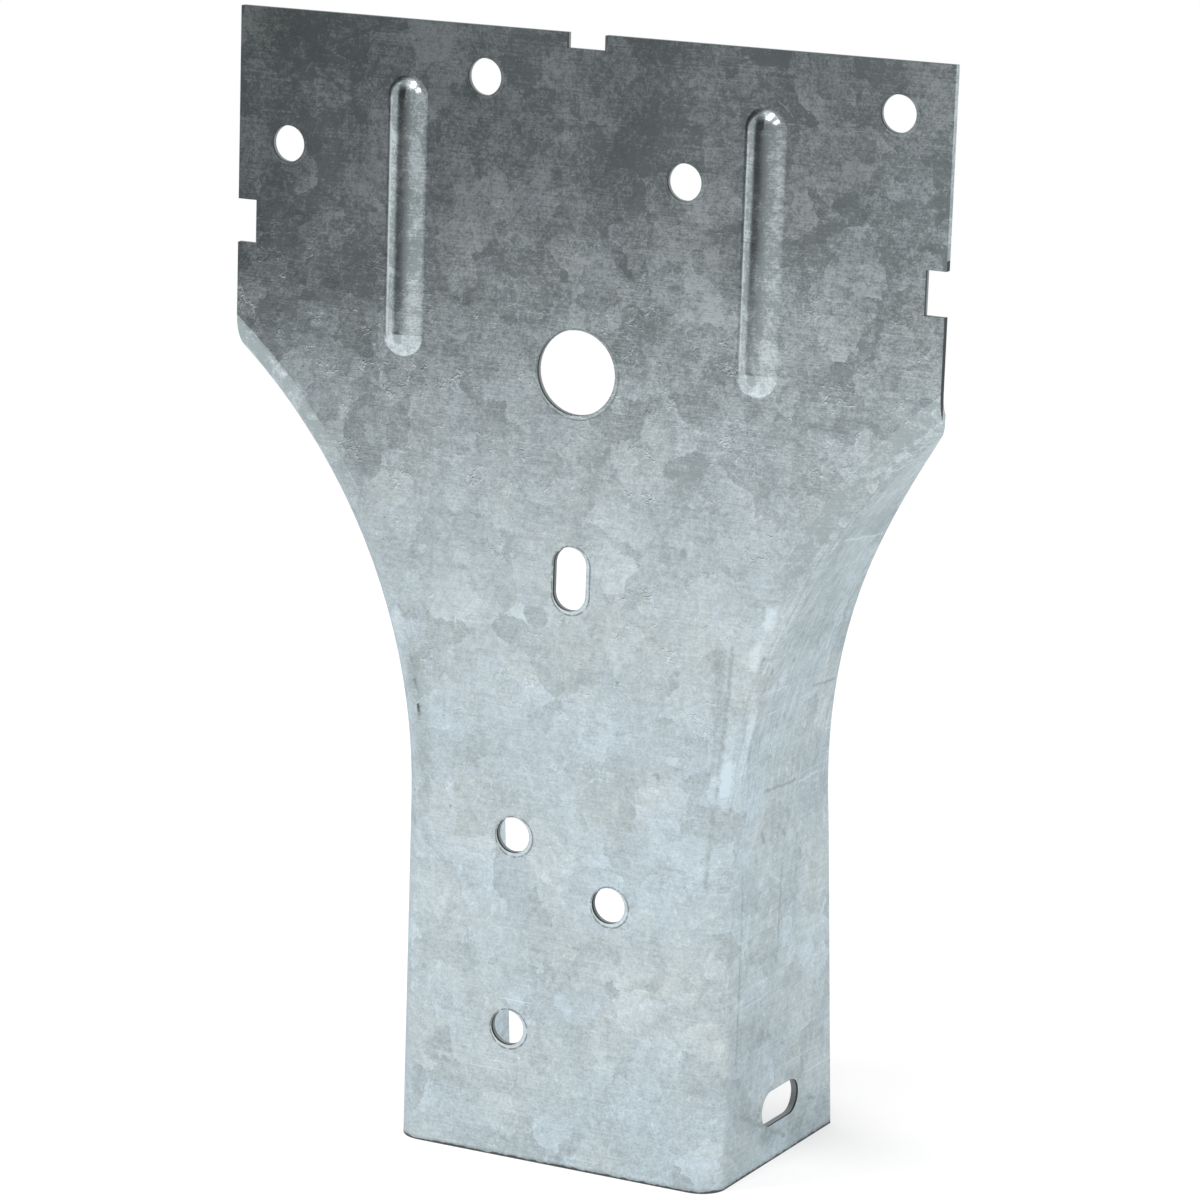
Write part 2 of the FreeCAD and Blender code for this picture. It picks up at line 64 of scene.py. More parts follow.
@dataclass(frozen=True)
class Waves:
    """How a noise is read: its waves to the metre, its finer layers and their strength."""

    scale: float
    detail: float = 2.0
    roughness: float = 0.5


class Slope(Enum):
    """How a step goes from its start to its end."""

    SMOOTH = "SMOOTHSTEP"
    STRAIGHT = "LINEAR"


class Graph:
    """Adds the nodes of one shader tree and joins their sockets."""

    def __init__(self, tree: Tree) -> None:
        """Keeps the tree that the nodes go into, and empties it.

        Args:
            tree: the node tree of a material, a world or a node group.
        """
        self.tree = tree
        tree.nodes.clear()

    def feed(self, socket: Socket, value: object) -> None:
        """Joins an output to a socket, or writes a plain value on it.

        Args:
            socket: the input to feed.
            value: another node's output socket, or a number, colour or vector.
        """
        if isinstance(value, Socket):
            self.tree.links.new(value, socket)
        else:
            socket.default_value = value

    def node(self, kind: str, inputs: dict | None = None, **settings: object) -> bpy.types.Node:
        """Adds one node.

        Args:
            kind: the node's type name.
            inputs: what each named or numbered input is fed.
            settings: the node's own properties.

        Returns:
            The new node.
        """
        made = self.tree.nodes.new(kind)
        for name, value in settings.items():
            setattr(made, name, value)
        for name, value in (inputs or {}).items():
            self.feed(made.inputs[name], value)
        return made

    def maths(self, operation: str, *values: object, clamp: bool = False) -> Socket:
        """Adds a Math node.

        Args:
            operation: the sum it does.
            values: its inputs in order.
            clamp: whether the answer is held between 0 and 1.

        Returns:
            The answer's socket.
        """
        made = self.node("ShaderNodeMath", operation=operation, use_clamp=clamp)
        for socket, value in zip(made.inputs, values):
            self.feed(socket, value)
        return made.outputs[0]

    def below(self, value: object, limit: object) -> Socket:
        """Tells where a number is below a limit.

        Args:
            value: the number.
            limit: the limit.

        Returns:
            The mask's socket.
        """
        return self.maths("LESS_THAN", value, limit)

    def above(self, value: object, limit: object) -> Socket:
        """Tells where a number is above a limit.

        Args:
            value: the number.
            limit: the limit.

        Returns:
            The mask's socket.
        """
        return self.maths("GREATER_THAN", value, limit)

    def all_of(self, *masks: object) -> Socket:
        """Multiplies numbers, which of masks leaves what lies in every one.

        Args:
            masks: two or more of them.

        Returns:
            The answer's socket.
        """
        return reduce(lambda first, second: self.maths("MULTIPLY", first, second), masks)

    def any_of(self, *masks: object) -> Socket:
        """Takes the largest number, which of masks leaves what lies in any one.

        Args:
            masks: two or more of them.

        Returns:
            The answer's socket.
        """
        return reduce(lambda first, second: self.maths("MAXIMUM", first, second), masks)

    def added(self, start: object, shares: Iterable[tuple[Socket, float]]) -> Socket:
        """Adds parts to a number, each by its own share.

        Args:
            start: the number.
            shares: each part and its share.

        Returns:
            The sum's socket.
        """
        total = start
        for part, share in shares:
            total = self.maths("MULTIPLY_ADD", part, share, total)
        return total

    def vector(self, operation: str, *values: object, scale: object = None) -> Socket:
        """Adds a Vector Math node.

        Args:
            operation: the sum it does.
            values: its vectors in order.
            scale: the factor of a SCALE sum.

        Returns:
            The answer's socket, a number for a dot product or a length.
        """
        made = self.node("ShaderNodeVectorMath", operation=operation)
        for socket, value in zip(made.inputs, values):
            self.feed(socket, value)
        if scale is not None:
            self.feed(made.inputs["Scale"], scale)
        number = operation in ("DOT_PRODUCT", "LENGTH", "DISTANCE")
        return made.outputs["Value" if number else "Vector"]

    def parts(self, vector: Socket) -> bpy.types.NodeOutputs:
        """Takes a vector apart.

        Args:
            vector: the vector's socket.

        Returns:
            The outputs X, Y and Z.
        """
        return self.node("ShaderNodeSeparateXYZ", {"Vector": vector}).outputs

    def joined(self, **parts: object) -> Socket:
        """Puts a vector together.

        Args:
            parts: what X, Y and Z are fed, where they aren't 0.

        Returns:
            The vector's socket.
        """
        return self.node("ShaderNodeCombineXYZ", parts).outputs[0]

    def ease(
        self,
        value: object,
        low: float,
        high: float,
        start: float = 0.0,
        end: float = 1.0,
        slope: Slope = Slope.SMOOTH,
    ) -> Socket:
        """Adds a step from one number to another.

        Args:
            value: what is measured.
            low: the reading at which the step starts.
            high: the reading at which it ends.
            start: the answer below low.
            end: the answer above high.
            slope: how the answer goes from start to end.

        Returns:
            The answer's socket.
        """
        made = self.node(
            "ShaderNodeMapRange",
            {"Value": value, "From Min": low, "From Max": high, "To Min": start, "To Max": end},
            interpolation_type=slope.value,
        )
        return made.outputs["Result"]

    def blend(self, factor: object, first: object, second: object) -> Socket:
        """Mixes two colours.

        Args:
            factor: 0 for the first, 1 for the second.
            first: a colour.
            second: a colour.

        Returns:
            The mixed colour's socket.
        """
        made = self.node("ShaderNodeMix", data_type="RGBA")
        colours = [socket for socket in made.inputs if socket.type == "RGBA"]
        self.feed(made.inputs[0], factor)
        self.feed(colours[0], first)
        self.feed(colours[1], second)
        return next(socket for socket in made.outputs if socket.type == "RGBA")

    def noise(self, place: object, waves: Waves) -> bpy.types.NodeOutputs:
        """Adds a Noise texture.

        Args:
            place: where it is read.
            waves: how it is read.

        Returns:
            The outputs Fac and Color.
        """
        read = {"Scale": waves.scale, "Detail": waves.detail, "Roughness": waves.roughness}
        return self.node("ShaderNodeTexNoise", {"Vector": place, **read}).outputs

    def shaken(self, place: Socket, waves: Waves, reach: object) -> Socket:
        """Moves a place to and fro, so that what is read there gets a ragged edge.

        Args:
            place: the place.
            waves: the noise that moves it.
            reach: the whole width of the movement.

        Returns:
            The moved place's socket.
        """
        shift = self.off_middle(self.noise(place, waves)["Color"])
        return self.vector("ADD", place, self.vector("SCALE", shift, scale=reach))

    def off_middle(self, random: Socket) -> Socket:
        """Takes the middle from a random colour, so that it is 0 on average.

        Args:
            random: a colour that is 0.5 on average.

        Returns:
            The vector's socket.
        """
        return self.vector("SUBTRACT", random, (MIDDLE, MIDDLE, MIDDLE))

    def cells(self, place: Socket, fineness: object) -> tuple:
        """Adds a Voronoi texture.

        Args:
            place: where it is read.
            fineness: its cells to the metre.

        Returns:
            The texture's outputs, and the random Red, Green and Blue of each cell.
        """
        made = self.node("ShaderNodeTexVoronoi", {"Vector": place, "Scale": fineness}).outputs
        random = self.node("ShaderNodeSeparateColor", {"Color": made["Color"]}).outputs
        return made, random

    def group(self, tree: Tree, inputs: dict) -> bpy.types.NodeOutputs:
        """Places a node group.

        Args:
            tree: the group's own tree.
            inputs: what each named input is fed.

        Returns:
            The group's outputs.
        """
        return self.node("ShaderNodeGroup", inputs=inputs, node_tree=tree).outputs


@dataclass(frozen=True)
class Sockets:
    """The names of the numbers and vectors on one side of a shared effect."""

    numbers: tuple[str, ...] = ()
    vectors: tuple[str, ...] = ()


def new_effect(name: str, inputs: Sockets, outputs: Sockets) -> tuple:
    """Starts a shader node group with named sockets.

    Args:
        name: the group's name.
        inputs: what it is fed, besides the point's place.
        outputs: what it answers.

    Returns:
        The tree, its graph, its input node's sockets and its output node's sockets.
    """
    tree = bpy.data.node_groups.new(name, "ShaderNodeTree")
    tree.interface.new_socket("Place", in_out="INPUT", socket_type="NodeSocketVector")
    for side, sockets in (("INPUT", inputs), ("OUTPUT", outputs)):
        for label in sockets.numbers:
            tree.interface.new_socket(label, in_out=side, socket_type="NodeSocketFloat")
        for label in sockets.vectors:
            tree.interface.new_socket(label, in_out=side, socket_type="NodeSocketVector")
    graph = Graph(tree)
    given = graph.node("NodeGroupInput").outputs
    answer = graph.node("NodeGroupOutput").inputs
    return tree, graph, given, answer


@dataclass(frozen=True)
class Spangle:
    """The zinc crystal pattern: ragged cells, each with its own shade, lean and feathering."""

    edge: Waves = Waves(420.0, 3.5, 0.58)
    feather_stretch: Triple = (2600.0, 900.0, 420.0)
    feather: Waves = Waves(1.0, 3.0, 0.6)
    fade: float = 1.1

    def effect(self) -> Tree:
        """Makes the pattern.

        Returns:
            The group, with Shade and Feather near 0.5 on average, and Lean, how far each
            crystal tips its face.
        """
        tree, graph, given, answer = new_effect(
            "spangle", Sockets(("Cells", "Ragged")), Sockets(("Shade", "Feather"), ("Lean",))
        )
        place = graph.shaken(given["Place"], self.edge, given["Ragged"])
        cells, random = graph.cells(place, given["Cells"])
        lean = graph.off_middle(cells["Color"])
        # each crystal grows its feathers along one direction of its own
        turned = graph.node(
            "ShaderNodeVectorRotate",
            {"Vector": place, "Angle": graph.maths("MULTIPLY", random["Red"], math.tau)},
            rotation_type="Y_AXIS",
        ).outputs[0]
        drawn = graph.vector("MULTIPLY", turned, self.feather_stretch)
        # each crystal fades from one side to the other, so that it meets the next at a sharp edge
        away = graph.vector("SUBTRACT", place, cells["Position"])
        across = graph.all_of(graph.vector("DOT_PRODUCT", away, lean), given["Cells"])
        shade = graph.maths("MULTIPLY_ADD", across, self.fade, random["Green"])
        graph.feed(answer["Shade"], shade)
        graph.feed(answer["Feather"], graph.noise(drawn, self.feather)["Fac"])
        graph.feed(answer["Lean"], lean)
        return tree


@dataclass(frozen=True)
class RollingScuffs:
    """The fine scuffs that the rolls leave across the coil, and a few long dashes."""

    fine: Waves = Waves(1.0, 3.0, 0.65)
    fine_range: Span = (0.35, 0.75)
    long: Waves = Waves(1.0, 1.0, 0.5)
    long_fineness: float = 0.55
    long_range: Span = (0.70, 0.80)
    patch: Waves = Waves(110.0, 2.0, 0.5)
    patch_range: Span = (0.45, 0.62)

    def effect(self) -> Tree:
        """Makes the scuffs.

        Returns:
            The group, with Scuff from 0 to 1 where a bright scuff is, and Dash for the few
            long ones.
        """
        tree, graph, given, answer = new_effect(
            "rolling_scuffs", Sockets(("Length", "Fineness")), Sockets(("Scuff", "Dash"))
        )
        along = graph.joined(X=given["Length"], Y=given["Length"], Z=given["Fineness"])
        fine = graph.noise(graph.vector("MULTIPLY", given["Place"], along), self.fine)["Fac"]
        wider = graph.vector("SCALE", along, scale=self.long_fineness)
        long = graph.noise(graph.vector("MULTIPLY", given["Place"], wider), self.long)["Fac"]
        patch = graph.noise(given["Place"], self.patch)["Fac"]
        dash = graph.all_of(
            graph.ease(long, *self.long_range), graph.ease(patch, *self.patch_range)
        )
        graph.feed(answer["Scuff"], graph.ease(fine, *self.fine_range, slope=Slope.STRAIGHT))
        graph.feed(answer["Dash"], dash)
        return tree


@dataclass(frozen=True)
class Specks:
    """Small round specks, scattered thinly."""

    edge: Waves = Waves(2400.0)
    edge_reach: float = 0.4 * MM
    least: float = 0.35
    rim_range: Span = (0.0, 0.6)

    def effect(self) -> Tree:
        """Makes the specks.

        Returns:
            The group, with Speck 1 on a speck and 0 elsewhere.
        """
        tree, graph, given, answer = new_effect(
            "specks", Sockets(("Cells", "Share", "Size")), Sockets(("Speck",))
        )
        place = graph.shaken(given["Place"], self.edge, self.edge_reach)
        cells, random = graph.cells(place, given["Cells"])
        chosen = graph.below(random["Red"], given["Share"])
        radius = graph.all_of(given["Size"], graph.maths("ADD", random["Blue"], self.least))
        away = graph.vector("DISTANCE", place, cells["Position"])
        near = graph.maths("SUBTRACT", 1.0, graph.maths("DIVIDE", away, radius), clamp=True)
        graph.feed(answer["Speck"], graph.all_of(graph.ease(near, *self.rim_range), chosen))
        return tree


@dataclass(frozen=True)
class Wrinkles:
    """The short, curled wrinkles that the zinc skin sets in."""

    curl: Waves = Waves(500.0)
    curl_reach: float = 2.0 * MM
    skin: Waves = Waves(420.0, 3.0, 0.55)
    crest: float = 0.022
    patch: Waves = Waves(330.0, 2.0, 0.6)
    patch_range: Span = (0.50, 0.66)

    def effect(self) -> Tree:
        """Makes the wrinkles, where the skin's noise crosses its middle.

        Returns:
            The group, with Wrinkle 1 on a wrinkle's crest and 0 away from it.
        """
        tree, graph, given, answer = new_effect("wrinkles", Sockets(), Sockets(("Wrinkle",)))
        place = graph.shaken(given["Place"], self.curl, self.curl_reach)
        skin = graph.noise(place, self.skin)["Fac"]
        away = graph.maths("ABSOLUTE", graph.maths("SUBTRACT", skin, MIDDLE))
        patch = graph.noise(given["Place"], self.patch)["Fac"]
        wrinkle = graph.all_of(
            graph.ease(away, self.crest, 0.0), graph.ease(patch, *self.patch_range)
        )
        graph.feed(answer["Wrinkle"], wrinkle)
        return tree


class PlacedMark:
    """One straight mark between two points, with soft or patchy edges."""

    def effect(self) -> Tree:
        """Makes the mark.

        Returns:
            The group, with Mark 1 on the mark and 0 away from it.
        """
        tree, graph, given, answer = new_effect(
            "mark",
            Sockets(("Rough", "Width", "Soft", "Patchy"), ("From", "To")),
            Sockets(("Mark",)),
        )
        reach = graph.vector("SUBTRACT", given["To"], given["From"])
        away = graph.vector("SUBTRACT", given["Place"], given["From"])
        along = graph.maths(
            "DIVIDE",
            graph.vector("DOT_PRODUCT", away, reach),
            graph.vector("DOT_PRODUCT", reach, reach),
            clamp=True,
        )
        gap = graph.vector("SUBTRACT", away, graph.vector("SCALE", reach, scale=along))
        ratio = graph.maths("DIVIDE", graph.vector("LENGTH", gap), given["Width"])
        core = graph.maths("DIVIDE", graph.maths("SUBTRACT", 1.0, ratio), given["Soft"], clamp=True)
        core = graph.all_of(core, graph.maths("SUBTRACT", 1.0, given["Soft"]))
        mask = graph.any_of(graph.ease(ratio, 1.0, 0.0), core)
        kept = graph.maths("SUBTRACT", 1.0, graph.all_of(given["Rough"], given["Patchy"]))
        graph.feed(answer["Mark"], graph.all_of(mask, kept))
        return tree


@dataclass(frozen=True)
class PunchedRim:
    """The rolled rim that the punch leaves round a hole, shown with painted highlight and shade."""

    band: float = 0.06 * MM
    band_reach: float = 0.22 * MM
    line: float = 0.31 * MM
    line_reach: float = 0.16 * MM
    rough: Waves = Waves(1300.0, 2.0, 0.6)
    rough_range: Span = (0.36, 0.52)

    def effect(self) -> Tree:
        """Makes the rim.

        Returns:
            The group, with Rim 1 on the rolled band's painted highlight and Line 1 on the thin
            dark line of painted shade round it.
        """
        tree, graph, given, answer = new_effect(
            "punched_rim", Sockets(("Gap",)), Sockets(("Rim", "Line"))
        )
        band = graph.maths("ABSOLUTE", graph.maths("SUBTRACT", given["Gap"], self.band))
        edge = graph.maths("ABSOLUTE", graph.maths("SUBTRACT", given["Gap"], self.line))
        rough = graph.noise(given["Place"], self.rough)["Fac"]
        line = graph.all_of(
            graph.ease(edge, self.line_reach, 0.0), graph.ease(rough, *self.rough_range)
        )
        graph.feed(answer["Rim"], graph.ease(band, self.band_reach, 0.0))
        graph.feed(answer["Line"], line)
        return tree


@dataclass(frozen=True)
class DrawnStreaks:
    """The fine streaks that the die draws along the flares, round each flare's own axis."""

    axis_across: float = 88.8 * MM
    axis_height: float = 41.7 * MM
    fineness: float = 2400.0
    turns: float = 13.0
    waves: Waves = Waves(1.0, 3.0, 0.6)
    bend_range: Span = (-0.85 * MM, 0.2 * MM)
    height_range: Span = (38.0 * MM, 50.0 * MM)

    def effect(self) -> Tree:
        """Makes the streaks.

        Returns:
            The group, with Streak near 0 on average: above it a light streak, below it a
            dark one.
        """
        tree, graph, given, answer = new_effect("drawn_streaks", Sockets(), Sockets(("Streak",)))
        place = graph.parts(given["Place"])
        side = graph.maths("SUBTRACT", self.axis_across, graph.maths("ABSOLUTE", place["X"]))
        rise = graph.maths("SUBTRACT", place["Z"], self.axis_height)
        square = graph.maths("MULTIPLY_ADD", side, side, graph.all_of(rise, rise))
        polar = graph.joined(
            X=graph.all_of(graph.maths("SQRT", square), self.fineness),
            Y=graph.all_of(place["Y"], self.fineness),
            Z=graph.all_of(graph.maths("ARCTAN2", rise, side), self.turns),
        )
        drawn = graph.maths("SUBTRACT", graph.noise(polar, self.waves)["Fac"], MIDDLE)
        on_flare = graph.all_of(
            graph.ease(place["Y"], *self.bend_range), graph.ease(place["Z"], *self.height_range)
        )
        graph.feed(answer["Streak"], graph.all_of(drawn, on_flare))
        return tree


@dataclass(frozen=True)
class ShearedFaces:
    """Where the sheet is cut through, found by place and by the way that a surface faces."""

    plate_range: Span = (-0.93 * MM, 0.02 * MM)
    flange_start: float = 1.4 * MM
    wall_limit: float = 0.3
    free_edge_limit: float = 0.4
    foot_top: float = 0.02 * MM
    foot_limit: float = 0.7
    side: float = 44.3 * MM
    notch_height: float = 112.0 * MM
    burnish_end: float = -0.50 * MM
    flange_splay: float = 0.0454
    flange_outside: float = 20.76 * MM
    rough: Waves = Waves(900.0, 3.0, 0.6)
    # the painted shade along the foot
    foot_shade_line: float = 0.62 * MM
    foot_fade: Span = (0.02 * MM, -0.12 * MM)

    def effect(self) -> Tree:
        """Makes the masks.

        Returns:
            The group, with Cut 1 on a sheared face and 0 on the sheet's two faces, and Lip 1
            on the dark, burnished part of the cut and on the painted shade along the foot.
        """
        tree, graph, given, answer = new_effect(
            "sheared_faces", Sockets(vectors=("Facing",)), Sockets(("Cut", "Lip"))
        )
        place, facing = graph.parts(given["Place"]), graph.parts(given["Facing"])
        aside = graph.maths("ABSOLUTE", place["X"])
        front, back = self.plate_range
        plate_cut = graph.all_of(
            graph.below(place["Y"], back),
            graph.below(graph.maths("ABSOLUTE", facing["Y"]), self.wall_limit),
            graph.above(place["Y"], front),
        )
        in_flange = graph.above(place["Y"], self.flange_start)
        free_edge = graph.all_of(in_flange, graph.above(facing["Y"], self.free_edge_limit))
        slot_walls = graph.all_of(
            in_flange, graph.below(graph.maths("ABSOLUTE", facing["X"]), self.wall_limit)
        )
        foot = graph.all_of(
            graph.below(place["Z"], self.foot_top),
            graph.above(graph.maths("ABSOLUTE", facing["Z"]), self.foot_limit),
        )
        # the upper part of each side edge kept its zinc
        at_side = graph.above(aside, self.side)
        bright_side = graph.all_of(at_side, graph.above(place["Z"], self.notch_height))
        bare = graph.maths("SUBTRACT", 1.0, bright_side)
        cut = graph.all_of(graph.any_of(plate_cut, free_edge, slot_walls, foot), bare)
        # the punch burnishes the front of a cut, and the back of it breaks off paler
        burnished_and_shade = graph.below(place["Y"], self.burnish_end)
        dull_side = graph.maths("SUBTRACT", at_side, bright_side)
        lip = graph.all_of(graph.any_of(burnished_and_shade, dull_side), bare, plate_cut)
        splay = graph.maths("MULTIPLY_ADD", place["Y"], -self.flange_splay, aside)
        slot_lip = graph.all_of(slot_walls, graph.above(splay, self.flange_outside))
        # painted shade along the foot, with a wavering top edge
        rise = graph.all_of(graph.noise(given["Place"], self.rough)["Fac"], self.foot_shade_line)
        foot_shade_line = graph.ease(graph.maths("SUBTRACT", place["Z"], rise), *self.foot_fade)
        graph.feed(answer["Cut"], cut)
        graph.feed(answer["Lip"], graph.any_of(lip, slot_lip, foot_shade_line))
        return tree


class Tone(Enum):
    """Whether a mark is lighter or darker than the zinc round it."""

    LIGHT = 1.0
    DARK = -1.0


@dataclass(frozen=True)
class Mark:
    """One scratch, crease, rub, stain, painted highlight or painted shade, placed in millimetres on
    the sheet.
    """

    tone: Tone
    start: Triple
    end: Triple
    width: float
    strength: float
    soft: float = 0.8
    patchy: float = 0.3


SHEET_MARKS = (
    # painted highlight on the beads' left feet, and painted shade on their crowns
    Mark(Tone.LIGHT, (-24.5, -0.95, 97.5), (-24.5, -0.95, 124.0), 0.5, 0.50, patchy=0.0),
    Mark(Tone.LIGHT, (20.2, -0.95, 97.5), (20.2, -0.95, 124.0), 0.5, 0.50, patchy=0.0),
    Mark(Tone.DARK, (-22.0, -1.64, 98.0), (-22.0, -1.64, 123.6), 0.65, 0.36, patchy=0.0),
    Mark(Tone.DARK, (22.7, -1.64, 98.0), (22.7, -1.64, 123.6), 0.65, 0.36, patchy=0.0),
    # painted shade where the beads' crowns run out at their lower ends, which mirror the bright
    # floor
    Mark(Tone.DARK, (-22.7, -1.6, 96.8), (-22.7, -1.6, 96.4), 0.9, 0.80, patchy=0.0),
    Mark(Tone.DARK, (22.0, -1.6, 96.8), (22.0, -1.6, 96.4), 0.9, 0.80, patchy=0.0),
    # stains beside the right side slot
    Mark(Tone.DARK, (21.3, 9.0, 6.3), (21.6, 13.2, 3.6), 2.4, 0.22, patchy=0.2),
    Mark(Tone.DARK, (21.6, 18.0, 9.6), (21.8, 21.6, 9.0), 1.6, 0.18, patchy=0.2),
    # soft shadows beside the two bends
    Mark(Tone.DARK, (-20.2, -0.9, 60.5), (-17.8, -0.9, 44.0), 2.2, 0.20, patchy=0.2),
    Mark(Tone.DARK, (19.3, -0.9, 65.0), (19.1, -0.8, 51.0), 1.3, 0.22, patchy=0.2),
    Mark(Tone.DARK, (20.8, -0.9, 65.6), (20.2, -0.8, 57.1), 0.5, 0.30),
    Mark(Tone.DARK, (20.2, -0.8, 57.1), (18.5, -0.9, 37.2), 0.5, 0.30),
    Mark(Tone.DARK, (22.3, 1.9, 54.5), (21.2, 3.9, 34.0), 0.45, 0.30, patchy=0.6),
    Mark(Tone.DARK, (21.2, 3.9, 34.0), (21.2, 3.9, 14.2), 0.45, 0.25, patchy=0.6),
    # lighter patches on the right bend
    Mark(Tone.LIGHT, (20.4, -0.3, 51.5), (20.3, -0.3, 48.4), 1.1, 0.45),
    Mark(Tone.LIGHT, (22.6, 1.3, 57.2), (22.4, 1.6, 54.4), 1.0, 0.40),
    Mark(Tone.LIGHT, (23.6, -0.4, 66.0), (23.2, -0.4, 63.6), 1.0, 0.40),
    Mark(Tone.LIGHT, (25.4, -0.5, 70.4), (24.9, -0.5, 68.6), 1.0, 0.40),
    # scratches and creases on the right flange
    Mark(Tone.LIGHT, (32.1, 3.1, 78.7), (32.0, 14.5, 77.5), 0.35, 0.45),
    Mark(Tone.DARK, (23.8, 15.5, 58.2), (23.9, 21.9, 57.7), 0.3, 0.40),
    Mark(Tone.DARK, (21.6, 8.1, 46.8), (21.9, 16.0, 46.5), 0.35, 0.45),
    Mark(Tone.LIGHT, (21.9, 17.2, 46.0), (22.2, 22.2, 46.2), 0.3, 0.35),
    Mark(Tone.DARK, (21.4, 8.2, 41.6), (21.4, 8.8, 40.7), 0.6, 0.45),
    Mark(Tone.DARK, (21.6, 13.6, 41.0), (21.6, 14.3, 40.3), 0.55, 0.40),
    Mark(Tone.DARK, (21.6, 13.9, 36.5), (21.6, 13.6, 27.9), 0.35, 0.40),
    Mark(Tone.DARK, (24.4, 2.1, 62.9), (24.4, 2.3, 62.5), 0.45, 0.70, patchy=0.0),
    Mark(Tone.DARK, (24.8, 7.3, 63.3), (24.8, 7.5, 63.0), 0.40, 0.60, patchy=0.0),
    Mark(Tone.DARK, (21.2, 4.1, 8.6), (21.8, 17.8, 2.1), 0.5, 0.30, patchy=0.7),
    Mark(Tone.DARK, (22.1, 23.8, 5.1), (22.2, 25.7, 4.5), 0.35, 0.50),
    # rubs, dashes and specks on the plate
    Mark(Tone.DARK, (14.3, -0.9, 75.9), (14.3, -0.9, 75.5), 0.45, 0.70, patchy=0.0),
    Mark(Tone.LIGHT, (-40.3, -0.8, 92.7), (-38.1, -0.9, 90.6), 0.8, 0.35),
    Mark(Tone.LIGHT, (15.4, -0.9, 89.8), (16.8, -0.9, 89.7), 0.3, 0.55),
    # painted shade over the upper left corner, and a curved scratch over the right bead
    Mark(Tone.DARK, (-39.0, -0.9, 110.0), (-35.0, -0.9, 124.0), 15.0, 0.20, patchy=0.1),
    Mark(Tone.LIGHT, (23.8, -0.9, 127.7), (24.7, -0.9, 127.0), 0.2, 0.90, patchy=0.0),
    Mark(Tone.LIGHT, (24.7, -0.9, 127.0), (25.4, -0.9, 126.2), 0.2, 0.90, patchy=0.0),
    # wrinkles in the zinc near the left bead
    Mark(Tone.DARK, (-32.7, -0.9, 129.6), (-29.0, -0.9, 131.1), 0.3, 0.50),
    Mark(Tone.DARK, (-29.0, -0.9, 131.1), (-25.6, -0.9, 132.7), 0.3, 0.45),
    Mark(Tone.DARK, (-36.2, -0.9, 126.1), (-32.2, -0.9, 125.6), 0.3, 0.45),
    Mark(Tone.DARK, (-32.2, -0.9, 125.6), (-29.4, -0.9, 123.8), 0.35, 0.50),
    Mark(Tone.DARK, (-29.4, -0.9, 123.8), (-28.8, -0.9, 121.0), 0.35, 0.50),
)


@dataclass(frozen=True)
class PunchedHole:
    """A hole in the front face, placed in millimetres, with its rolled rim."""

    across: float
    low: float
    high: float
    radius: float


NAIL_RADIUS = 2.125
NAIL_HOLES = (
    (-37.95, 117.8),
    (-12.65, 127.55),
    (12.65, 117.8),
    (37.95, 127.55),
    (-6.3, 16.0),
    (6.3, 32.9),
    (-6.3, 39.5),
)
SHEET_HOLES = (
    *(PunchedHole(across, height, height, NAIL_RADIUS) for across, height in NAIL_HOLES),
    # the large hole and the upright slot
    PunchedHole(0.0, 94.9, 94.9, 4.925),
    PunchedHole(0.0, 69.25, 72.55, 2.1),
)


@dataclass(frozen=True)
class Surface:
    """A material's graph, and what it can ask about the point that it shades."""

    graph: Graph
    place: Socket
    facing: Socket
    effects: dict[str, Tree]

    def effect(self, name: str, **inputs: object) -> bpy.types.NodeOutputs:
        """Places a shared effect at the point that is shaded.

        Args:
            name: the effect's name.
            inputs: what it is fed besides the point's place, or in its stead.

        Returns:
            The effect's outputs.
        """
        return self.graph.group(self.effects[name], {"Place": self.place, **inputs})


@dataclass(frozen=True)
class Zinc:
    """What the zinc's pattern gives to the shader."""

    tone: Socket
    height: Socket
    gloss: Socket
    lean: Socket
    coolness: Socket


@dataclass(frozen=True)
class ZincTones:
    """How far each layer of the pattern moves the zinc's tone, up or down."""

    large_shade: float = 0.28
    small_shade: float = 0.16
    large_feather: float = 0.42
    small_feather: float = 0.20
    clouds: float = 0.72
    mottle: float = 0.85
    grain: float = 1.05
    scuff: float = 0.24
    streak: float = 1.1
    # painted shade where the upper bends start
    bend: float = -0.42
    dash: float = 0.65
    speck: float = -0.9
    wrinkle: float = 0.36
    # painted shade along the foot
    foot_shade: float = -0.40
    # painted highlight on the holes' rolled rims
    rim: float = 0.30
    mark: float = 1.5


@dataclass(frozen=True)
class ZincRelief:
    """How high each layer stands in metres, how far crystals lean and how the gloss varies."""

    grain: float = 1.6e-6
    mottle: float = 9.0e-6
    wrinkle: float = 7.0e-6
    scuff: float = 0.8e-6
    large_lean: float = 0.012
    small_lean: float = 0.010
    gloss: float = 0.2


@dataclass(frozen=True)
class ZincLayers:
    """The sizes of the pattern's layers, and the heights on the tie between which they change."""

    cell: float = 5.2 * MM
    ragged: float = 3.2 * MM
    small_cell: float = 1.9 * MM
    small_ragged: float = 1.6 * MM
    scuff_length: float = 110.0
    scuff_fineness: float = 6200.0
    speck_cells: float = 620.0
    speck_share: float = 0.06
    speck_size: float = 0.22 * MM
    clouds: Waves = Waves(55.0, 5.0, 0.6)
    mottle: Waves = Waves(1100.0, 4.0, 0.65)
    grain: Waves = Waves(3600.0, 3.0, 0.7)
    blue: Waves = Waves(75.0, 4.0, 0.62)
    blue_shift: Triple = (0.31, 0.0, 0.17)
    blue_range: Span = (0.34, 0.60)
    blue_heights: Span = (50.0 * MM, 105.0 * MM)
    blue_above: float = 0.2
    crisp_heights: Span = (66.0 * MM, 120.0 * MM)
    crisp_above: float = 2.5
    wrinkle_heights: Span = (94.0 * MM, 112.0 * MM)
    wrinkle_above: float = 0.25
    # the heights between which the painted shade along the foot fades in
    foot_shade_heights: Span = (0.70 * MM, 0.35 * MM)


